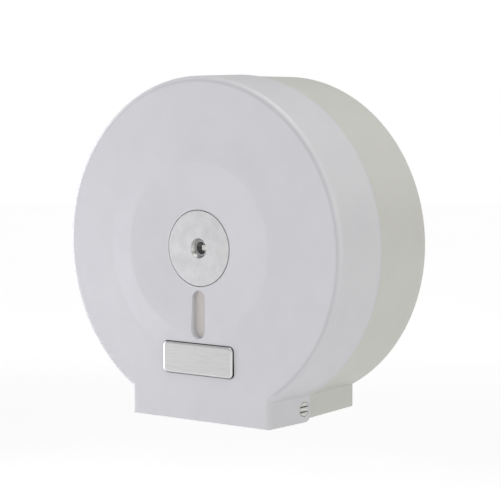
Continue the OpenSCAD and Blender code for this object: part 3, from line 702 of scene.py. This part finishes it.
lock = {
    "barrelFace": frontOf("lock_barrel"), "barrelBack": backOf("lock_barrel"),
    "barrelRadius": 8.0, "barrelFlat": 7.0, "thread": 0.45, "pitch": 1.0, "neck": 5.0,
    "flangeRadius": 12.0, "flange": 2.1, "flangeEdge": 0.3,
    "keyway": 4.9, "ledge": faceOut - 12.2, "rod": 3.0, "spigot": 4.8, "spigotOut": frontOf("lock_spigot"),
    "collar": 2.4, "collarGap": 0.2, "clipGroove": (0.6, 0.4, 1.5), "square": 3.6, "pilot": (1.1, 7.0),
    "camBack": backOf("lock_cam"), "cam": 3.0, "camWidth": 6.4, "camReach": 9.0, "camEdge": 0.4,
    "nutRadius": 12.5, "nut": 5.0, "nutChamfer": (1.6, 1.1), "washer": 0.8, "washerHole": 8.2,
}


# A threaded bar: the radius falls by the thread's depth once a pitch, on a helix round the bar.
def threaded(radius, depth, pitch, low, high, count=48, flat=None):
    height = np.linspace(low, high, int((high - low) / pitch * 6) + 2)[:, None]
    angle = (np.arange(count) * 2 * pi / count)[None, :]
    phase = height / pitch - angle / (2 * pi)
    inEnds = np.clip(np.minimum(height - low, high - height) / pitch, 0, 1)
    r = radius - depth * (0.5 - 0.5 * np.cos(2 * pi * phase)) * inEnds
    rings = np.stack([r * np.cos(angle), r * np.sin(angle), np.broadcast_to(height, r.shape)], -1)
    if flat is not None:
        rings[..., 0] = np.clip(rings[..., 0], -flat, flat)
    return rings


def makeLock():
    k = lock
    face = k["barrelFace"]
    flangeLow = face - k["flange"]
    barrel, neckLow = k["barrelRadius"], flangeLow - k["neck"]
    body = solid(threaded(barrel, k["thread"], k["pitch"], k["barrelBack"], neckLow, 96, k["barrelFlat"]))
    neck = solid(slab(lambda inset: barrelOutline(barrel, k["barrelFlat"]),
                      [(0, flangeLow - 5.2), (0, face - 0.5)]))
    flange = solid(disc(k["flangeRadius"], flangeLow, face, k["flangeEdge"], k["flangeEdge"],
                        count=middleTurn))
    r = k["keyway"]
    keyway = lathe([(r, k["ledge"]), (r, face - 0.4), (r + 0.35, face + 0.01), (r + 0.35, face + 2)], 96)
    rodHole = disc(k["rod"] + fit, k["barrelBack"] - 1, k["ledge"] + 1)
    shaped(body, ("UNION", neck, flange), ("DIFFERENCE", solid(keyway), solid(rodHole)))
    place(body, "lockBarrel", "lock_barrel", lockZinc)

    s, rod, tip = k["spigot"], k["rod"], k["spigotOut"]
    collarLow = k["ledge"] + k["collarGap"]
    collarHigh = collarLow + k["collar"]
    camBack, camFront = k["camBack"], k["camBack"] + k["cam"]
    spigot = solid(roundSlab(s, s, 0.4, [(0, collarHigh - 0.1), (0, tip - 0.5), (0.18, tip - 0.15),
                                         (0.5, tip)], steps=3))
    collar = disc(k["keyway"] - 0.3, collarLow, collarHigh, 0.2, 0.3)
    side = k["square"]
    square = roundSlab(side, side, 0.2, edgeLevels(camBack + 0.1, camFront + 0.4, 0.2), steps=3)
    deep, near, far = k["clipGroove"]
    groove = hoop(rod - deep, rod + 1, k["barrelBack"] - far, k["barrelBack"] - near, count=smallTurn)
    pilot, pilotDepth = k["pilot"]
    shaped(spigot, ("UNION", solid(collar), solid(disc(rod, camFront + 0.2, collarLow + 0.2)), solid(square)),
           ("DIFFERENCE", ringSolid(groove), solid(disc(pilot, camBack - 1, camBack + pilotDepth))))
    place(spigot, "keySpigot", "lock_spigot", spigotSteel)

    width = k["camWidth"]
    cam = solid(roundSlab(width, 2 * k["camReach"], width / 2,
                          edgeLevels(camBack, camFront, k["camEdge"], k["camEdge"]), steps=12))
    hole = side + 0.1
    shaped(cam, ("DIFFERENCE", solid(roundSlab(hole, hole, 0.2, [(0, camBack - 1), (0, camFront + 1)],
                                               steps=3))))
    place(cam, "lockCam", "lock_cam", lockZinc)

    nutFront = cover["bossOut"] - k["washer"]
    nutBack = nutFront - k["nut"]
    r = k["nutRadius"]
    angle = np.arange(6) * pi / 3
    hexagon = np.column_stack([np.cos(angle), np.sin(angle)]) * r
    cut, rise = k["nutChamfer"]
    rounding = lathe([(r - cut, nutBack), (r + 0.3, nutBack + rise),
                      (r + 0.3, nutFront - rise), (r - cut, nutFront)], 96)
    b = barrel + fit
    bore = lathe([(b + 1, nutBack - 0.1), (b, nutBack + 0.9),
                  (b, nutFront - 0.9), (b + 1, nutFront + 0.1)], 96)
    nut = shaped(solid(slab(lambda inset: hexagon, [(0, nutBack), (0, nutFront)])),
                 ("INTERSECT", solid(rounding)), ("DIFFERENCE", solid(bore)))
    place(nut, "lockNut", "lock_nut", lockZinc)
    washer = hoop(k["washerHole"], r, nutFront, cover["bossOut"], (0.1, 0.25, 0.1, 0.1), middleTurn, 3)
    place(ringSolid(washer), "lockWasher", "lock_washer", screwSteel)


makeLock()
print("lock made")


# Name plate, window and hinge pins

badge = {
    "soft": 2.0, "low": faceOut - 0.2, "high": frontOf("name_plate"), "stud": 1.5, "studReach": 3.0,
    # rimColour is a painted highlight on the rounded front edge; sideColour is painted shade, a dark
    # reflection on the plate's sides.
    "rimFade": 0.2, "rimColour": (0.74, 0.74, 0.74),
    "sideFrom": 0.8, "sideFade": 0.3, "sideColour": (0.02, 0.02, 0.022),
}


def pointsOf(piece):
    points = np.empty(len(piece.data.vertices) * 3)
    piece.data.vertices.foreach_get("co", points)
    return points.reshape(-1, 3)


# How far each point lies under the flat face, as a share from 0 to 1 over the given fade, for the finish to
# paint a highlight or shade by.
def markBelow(piece, name, start, fade):
    out = -pointsOf(piece)[:, 1] / mm
    share = piece.data.attributes.new(name, "FLOAT", "POINT")
    share.data.foreach_set("value", np.clip((start - out) / fade, 0, 1).astype(np.float32))


def brushedPlate():
    finish = drawnMetal("brushedPlate", *finishes["badge"], 0.36, (60, 3000, 3000))
    colour = finish.shader.inputs["Base Color"].links[0].from_socket
    # Painted highlight on the rounded rim and painted shade on the sides, laid over the brushed colour.
    for name in ("rim", "side"):
        share = finish.add("Attribute")
        share.attribute_name = name
        colour = finish.blend(share.outputs["Fac"], colour, badge[name + "Colour"])
    finish.colour(colour)
    return finish.material


def makeBadge():
    b, c = badge, cover
    levels = edgeLevels(b["low"], b["high"], 0, b["soft"], 12)
    down = -c["plateDrop"]
    plate = solid(roundSlab(c["plateWidth"], c["plateLength"], c["plateCorner"], levels, (0, down)))
    stud = disc(b["stud"], b["low"] - b["studReach"], b["low"] + 0.5, 0.3)
    shaped(plate, ("UNION", solid(*atEach([(x, down) for x in c["plateStuds"]], stud))))
    # Masks for the painted highlight on the rim and the painted shade on the sides.
    markBelow(plate, "rim", b["high"], b["rimFade"])
    markBelow(plate, "side", b["high"] - b["sideFrom"], b["sideFade"])
    place(plate, "namePlate", "name_plate", brushedPlate())


makeBadge()

lens = {
    "width": 26.4, "length": 44.4, "corner": 3.0, "out": faceOut - 4.0, "thick": 1.5, "edge": 0.25,
    "hole": 0.1, "frame": 1.5, "sight": 1.0, "clear": 0.38, "bending": 1.49,
}


def milkyPlastic():
    finish = Finish("milkyLens", 0.12, Transmission_Weight=lens["clear"], IOR=lens["bending"])
    finish.colour(finish.blend(finish.range(finish.noise(90, 2), 0, 1), *finishes["lens"]))
    finish.rough(finish.range(finish.noise(260, 3), 0.1, 0.18))
    return finish.material


def makeWindow():
    w = lens
    middle = (0, -cover["windowDrop"])
    low = w["out"] - w["thick"]

    def plain(levels):
        return solid(roundSlab(w["width"], w["length"], w["corner"], levels, middle))

    def holes():
        hole = disc(cover["stakeRadius"] + w["hole"], low - 4, w["out"] + 2)
        return solid(*atEach(lensStakesAt(), hole))

    pane = shaped(plain(edgeLevels(low, w["out"], w["edge"], w["edge"])), ("DIFFERENCE", holes()))
    place(pane, "windowLens", "window_lens", milkyPlastic())
    edge = low - w["frame"]
    width, length = cover["windowWidth"] + w["sight"], cover["windowLength"] + w["sight"]
    flare = [(-0.4, edge - 0.5), (-0.4, edge), (0, edge + 0.4), (0, low + 1)]
    sight = solid(roundSlab(width, length, width / 2, flare, middle, 12))
    surround = shaped(plain(edgeLevels(edge, low, 0.4, 0.1)), ("DIFFERENCE", holes(), sight))
    place(surround, "lensFrame", "lens_frame", housingPlastic)


makeWindow()

hinge = {"head": 62.85, "flange": 2.2, "flangeRadius": 7.2, "tip": 68.8, "bead": 0.4,
         "slit": 1.3, "slitsAt": (-2.0, 2.0), "slitFrom": 63.45}


def makePins():
    p = hinge
    r, wide, head, tip = cover["pinRadius"], p["flangeRadius"], p["head"], p["tip"]
    up, out = cover["pinUp"], cover["pinOut"]
    profile = [(wide - 0.3, head - p["flange"]), (wide, head - p["flange"] + 0.3), (wide, head - 0.1),
               (wide - 0.1, head), (r, head), (r, tip - 0.8), (r + 0.25, tip - 0.72),
               (r + p["bead"], tip - 0.5), (r + 0.28, tip - 0.25), (r - 0.05, tip - 0.07), (r - 0.4, tip)]
    pin = moved(alongAcross(lathe(profile, 96)), 0, up, out)
    half = p["slit"] / 2
    slits = [box((p["slitFrom"], tip + 1), (up + at - half, up + at + half), (out - wide, out + wide))
             for at in p["slitsAt"]]
    right = shaped(solid(pin), ("DIFFERENCE", solid(*slits)))
    place(right, "hingePinRight", "hinge_pin_right", pinPlastic)
    left = shaped(solid(mirrored(pin)), ("DIFFERENCE", solid(*[mirrored(slit) for slit in slits])))
    place(left, "hingePinLeft", "hinge_pin_left", pinPlastic)


makePins()
print("plate, window and pins made")


# Spindle, hub and what holds them

core = {
    "seat": housing["seatOut"], "flange": 4.0, "flangeRadius": 32.0, "radius": 18.0,
    "shoulder": 3.0, "shoulderRadius": 21.0, "end": backOf("catch_plate"), "bore": 13.0,
    "clipOut": backOf("hub_clip"), "clip": 1.2, "clipGap": 0.1, "clipInner": 17.06, "clipOuter": 20.6,
    "clipOpen": 8.0, "clipEye": 0.8,
    "hubRadius": 22.5, "stopRadius": 40.0, "stop": 4.0, "stopRim": 2.0, "sleeve": 20.2, "collar": 6.0,
    "hubStart": backOf("core_hub"), "hubEnd": frontOf("core_hub"), "fins": 8, "fin": 2.2, "finTop": 1.6,
    "screwHole": 2.2, "smallScrewRadius": 15.5, "pilot": 1.1, "pilotDepth": 6.0, "catchHole": 1.35,
    "slotWidth": lock["camWidth"] + 2, "slotLength": 2 * lock["camReach"] + 5,
}
screws = {  # head radius, head height, shank radius, shank length
    "spindle": (3.6, 2.2, 1.55, 8.5), "catch": (2.2, 1.5, 1.05, 7.5), "cam": (2.8, 1.6, 1.05, 6.5),
}


# A pan-head screw with its head seated at the given height: domed head, cross recess and threaded shank.
def screw(headRadius, headHeight, shankRadius, shankLength, seat, across=0.0, up=0.0):
    t = np.linspace(0, pi / 2, 7)
    dome = np.column_stack([headRadius * (0.55 + 0.45 * np.cos(t)),
                            seat + headHeight * (0.35 + 0.65 * np.sin(t))])
    head = moved(lathe([(headRadius - 0.1, seat), (headRadius, seat + 0.1), *dome], 40), across, up)
    shank = threaded(shankRadius, shankRadius * 0.22, shankRadius * 0.6, seat - shankLength, seat + 0.3, 24)
    shank[0] *= np.array([0.3, 0.3, 1])
    arm, slit = headRadius * 1.1, headRadius * 0.26
    levels = [(0.12, seat + headHeight * 0.35), (0, seat + headHeight + 1)]
    cross = [roundSlab(*size, 0.1, levels, (across, up), 2) for size in ((arm, slit), (slit, arm))]
    return shaped(solid(head), ("UNION", solid(moved(shank, across, up))),
                  ("DIFFERENCE", *[solid(skin) for skin in cross]))


# Screws on a circle, joined into one piece.
def screwRing(name, node, size, seat, radius, angles):
    pieces = [screw(*size, seat, radius * np.cos(a), radius * np.sin(a)) for a in np.radians(angles)]
    bpy.ops.object.select_all(action="DESELECT")
    for piece in pieces:
        piece.select_set(True)
    bpy.context.view_layer.objects.active = pieces[0]
    bpy.ops.object.join()
    place(pieces[0], name, node, screwSteel)


def makeSpindle():
    c = core
    flangeOut, end = c["seat"] + c["flange"], c["end"]
    shoulderOut, shoulder = flangeOut + c["shoulder"], c["shoulderRadius"]
    r, wide, bore = c["radius"], c["flangeRadius"], c["bore"]
    tube = [(bore, c["seat"], 0.6), (wide, c["seat"], 0.2), (wide, flangeOut, 1), (shoulder, flangeOut, 1.2),
            (shoulder, shoulderOut, 0.4), (r, shoulderOut, 0.1), (r, end, 0.5), (bore, end, 0.6)]
    low, high = c["clipOut"] - c["clipGap"], c["clipOut"] + c["clip"] + c["clipGap"]
    groove = hoop(r - 1, r + 1, low, high, count=middleTurn)
    screwsAt, smallScrewsAt = housing["screwRadius"], c["smallScrewRadius"]
    screwHole = disc(c["screwHole"], c["seat"] - 1, flangeOut + 1, centre=(screwsAt, 0))
    pilot = disc(c["pilot"], end - c["pilotDepth"], end + 1, centre=(smallScrewsAt, 0), count=24)
    body = shaped(ringSolid(latheRing(tube)),
                  ("DIFFERENCE", ringSolid(groove), solid(*around(screwHole, quarters)),
                   solid(*around(pilot, thirds))))
    place(body, "spindleBody", "spindle", greyPlastic)

    screwRing("spindleScrews", "spindle_screws", screws["spindle"], flangeOut, screwsAt, quarters)
    screwRing("catchScrews", "catch_screws", screws["catch"], catchOut, smallScrewsAt, thirds)
    camScrew = screw(*screws["cam"], -lock["camBack"])
    halfTurn = [-1, -1, 1]   # its head faces the wall
    camScrew.data.vertices.foreach_set("co", (pointsOf(camScrew) * halfTurn).ravel())
    place(camScrew, "camScrew", "cam_screw", screwSteel)

    width = c["slotWidth"]
    slot = roundSlab(width, c["slotLength"], width / 2,
                     [(0, end - 1), (0, catchOut - 0.2), (-0.2, catchOut), (-0.2, catchOut + 1)], steps=12)
    hole = disc(c["catchHole"], end - 1, catchOut + 1, centre=(smallScrewsAt, 0))
    plate = shaped(solid(disc(r - 0.3, end, catchOut, 0.2, 0.2, count=fineTurn)),
                   ("DIFFERENCE", solid(slot), solid(*around(hole, thirds))))
    place(plate, "catchPlate", "catch_plate", sheetSteel)


# A snap ring: a flat ring with soft edges, open at the top, with an eye in each end.
def snapRing(inner, outer, low, high, gap, eye=None):
    ring = ringSolid(hoop(inner, outer, low, high, (0.1, 0.15, 0.15, 0.1), middleTurn, 3))
    cuts = [solid(box((-gap / 2, gap / 2), (0, outer + 4), (low - 1, high + 1)))]
    if eye:
        middle = (inner + outer) / 2
        across = gap / 2 + eye * 1.6
        up = np.sqrt(middle ** 2 - across ** 2)
        hole = disc(eye, low - 1, high + 1, centre=(across, up), count=24)
        cuts.append(solid(hole, mirrored(hole)))
    return shaped(ring, ("DIFFERENCE", *cuts))


def makeHub():
    c = core
    start, end = c["hubStart"], c["hubEnd"]
    stop, hub, sleeve, collar = c["stopRadius"], c["hubRadius"], c["sleeve"], c["collar"]
    bore, rim, stopOut = c["radius"] + fit, stop - c["stopRim"], start + c["stop"]
    floor, last = start + 2.2, end - collar - 2
    low, high = (start + end - collar) / 2, (start + end + collar) / 2
    profile = [(bore, start, 0.3), (stop, start, 1), (stop, stopOut, 0.8), (rim, stopOut, 0.5),
               (rim, floor, 0.9), (hub, floor, 0.9), (hub, floor + collar, 0.5),
               (sleeve, floor + collar, 0.6), (sleeve, low, 0.6), (hub, low, 0.5),
               (hub, high, 0.5), (sleeve, high, 0.6), (sleeve, last, 0.6), (hub, last, 0.5),
               (hub, end - 2, 0.6), (hub - 1.5, end, 0.4), (bore, end, 0.3)]
    body = ringSolid(latheRing(profile, steps=4))
    root, top, foot, tip = sleeve - 1, hub - 0.2, c["fin"] / 2, c["finTop"] / 2
    section = rounded([(root, -foot, 0), (top, -tip, 0.5), (top, tip, 0.5), (root, foot, 0)], 5)
    fin = slab(lambda inset: section, [(0, start + 1.5), (0, end - 3)])
    shaped(body, ("UNION", solid(*around(fin, [360 / c["fins"] * i for i in range(c["fins"])]))))
    place(body, "coreHub", "core_hub", greyPlastic)
    clip = snapRing(c["clipInner"], c["clipOuter"], c["clipOut"], c["clipOut"] + c["clip"],
                    c["clipOpen"], c["clipEye"])
    place(clip, "hubClip", "hub_clip", screwSteel)
    rod = lock["rod"]
    small = snapRing(rod - 0.54, rod + 2.2, backOf("lock_clip"), frontOf("lock_clip"), rod)
    place(small, "lockClip", "lock_clip", screwSteel)


makeSpindle()
makeHub()
print("spindle and hub made")


# Tear blades

blade = {"length": 118.0, "thick": 0.8, "pitch": 4.0, "tooth": 4.0, "depth": 12.0, "grind": 0.9,
         "grindFrom": 0.15, "hole": 1.7, "holeIn": 6.0}


# A sawtooth strip: the edge zigzags half a pitch at a time, and the ground side is drawn back at the teeth.
def sawOutline(back):
    b = blade
    count = int(b["length"] // b["pitch"])
    k = np.arange(2 * count + 1)
    edge = np.column_stack([(k - count) * b["pitch"] / 2, np.where(k % 2, b["tooth"], 0) - back])
    half = b["length"] / 2
    rest = np.array([(half, -back), (half, -b["depth"]), (-half, -b["depth"]), (-half, -back)])
    return np.concatenate([edge, rest])[::-1]


# The teeth, drawn up, point to the wall where side is 1 and to the front where it is -1.
def makeBlade(name, node, side, up, out):
    b = blade
    strip = slab(sawOutline, [(0, 0), (0, b["grindFrom"]), (b["grind"], b["thick"])])
    holes = [disc(b["hole"], -1, b["thick"] + 1, centre=(x, -b["holeIn"])) for x in cover["lipStakes"]]
    laid = [moved(rings[..., [0, 2, 1]] * [1, side, -side], 0, up, out) for rings in (strip, *holes)]
    place(shaped(solid(laid[0]), ("DIFFERENCE", solid(*laid[1:]))), name, node, sheetSteel, 20)


lipTop, lipEdge = cover["low"] + cover["wall"], faceOut - cover["lip"] - 2
makeBlade("frontTearBlade", "front_tear_blade", 1, lipTop, lipEdge)
sillTop, sillEdge = housing["sill"] + blade["thick"], housing["sillOut"]
makeBlade("rearTearBlade", "rear_tear_blade", -1, sillTop, sillEdge)
print("blades made")


# Studio

studio = {
    "camera": (0.9834, -1.36506, 0.1452), "tilt": 5.282, "turn": 36.884, "lens": 145.51, "sensor": 36,
    "floorDrop": 0.45, "floorRadius": 9.0,
    "nearGlow": 0.45, "nearGlowFrom": (0.9, 1.7), "farGlow": 0.15, "farGlowFrom": (1.7, 3.5),
    "backdrop": 1.0, "sky": 0.42,
    # name, place, size, power and colour; every one is aimed at the middle of the drum
    "lights": [("leftWall", (-1.75, -0.15, 0.2), 1.0, 12.6, (0.985, 0.98, 1.045)),
               ("left", (-1.06, -1.36, -0.1), 1.3, 1.2, (0.985, 0.98, 1.045)),
               ("leftLow", (-1.45, -0.7, -0.3), 0.5, 6.0, (0.985, 0.98, 1.045)),
               ("front", (0.0, -1.2, -0.25), 0.7, 1.1, (1, 1, 1)),
               ("right", (1.65, -0.45, 0.35), 1.0, 6.0, (1.02, 1.01, 0.90)),
               ("above", (0.2, -0.2, 1.5), 1.0, 11.0, (1, 1, 0.97)),
               ("behind", (0.0, 1.7, 0.3), 0.6, 2.5, (1, 1, 1))],
}


# The room's light comes evenly from all round. Seen directly, it is a plain white backdrop.
def makeRoom():
    s = studio
    world = bpy.data.worlds.new("studio")
    world.use_nodes = True
    tree = world.node_tree
    glow = tree.nodes["Background"]
    glow.inputs["Color"].default_value = (1, 1, 1, 1)
    seen = tree.nodes.new("ShaderNodeLightPath").outputs["Is Camera Ray"]
    pick = tree.nodes.new("ShaderNodeMix")
    tree.links.new(seen, pick.inputs["Factor"])
    pick.inputs["A"].default_value = s["sky"]
    pick.inputs["B"].default_value = s["backdrop"]
    tree.links.new(pick.outputs["Result"], glow.inputs["Strength"])
    bpy.context.scene.world = world


# A round pale floor that glows softly where it runs out into the white backdrop, clear from underneath.
def makeFloor():
    s = studio
    angle = np.arange(fineTurn) * 2 * pi / fineTurn
    level = np.full(fineTurn, cadLow.z - s["floorDrop"])
    mesh = bpy.data.meshes.new("floor")
    edge = np.column_stack([s["floorRadius"] * np.cos(angle), s["floorRadius"] * np.sin(angle), level])
    mesh.from_pydata(edge, [], [list(range(fineTurn))])
    floor = linked("floor", mesh)
    paper = Finish("floorPaper", 0.8)
    paper.colour(paper.blend(paper.range(paper.noise(4, 2), 0, 1), *finishes["paper"]))
    away = paper.awayFromMiddle((0, 1))
    near = paper.range(away, 0, s["nearGlow"], *s["nearGlowFrom"])
    far = paper.range(away, 0, s["farGlow"], *s["farGlowFrom"])
    paper.shader.inputs["Emission Color"].default_value = (1, 1, 1, 1)
    paper.feed(paper.shader.inputs["Emission Strength"], paper.math("ADD", near, far))
    sides = paper.add("MixShader")
    paper.feed(sides.inputs[0], paper.add("NewGeometry").outputs["Backfacing"])
    paper.feed(sides.inputs[1], paper.shader.outputs[0])
    paper.feed(sides.inputs[2], paper.add("BsdfTransparent").outputs[0])
    paper.feed(paper.tree.nodes["Material Output"].inputs["Surface"], sides.outputs[0])
    floor.data.materials.append(paper.material)


def makeStudio():
    s = studio
    scene = bpy.context.scene
    scene.view_settings.view_transform = "Standard"
    camera = linked("camera", bpy.data.cameras.new("camera"))
    camera.location = s["camera"]
    camera.rotation_euler = (radians(90 - s["tilt"]), 0, radians(s["turn"]))
    camera.data.lens, camera.data.sensor_width = s["lens"], s["sensor"]
    scene.camera = camera
    for name, at, size, power, colour in s["lights"]:
        data = bpy.data.lights.new(name, "AREA")
        data.size, data.energy, data.color = size, power, colour
        light = linked(name, data)
        light.location = at
        light.rotation_euler = (-light.location).to_track_quat("-Z", "Y").to_euler()


makeRoom()
makeFloor()
makeStudio()
print("studio made")
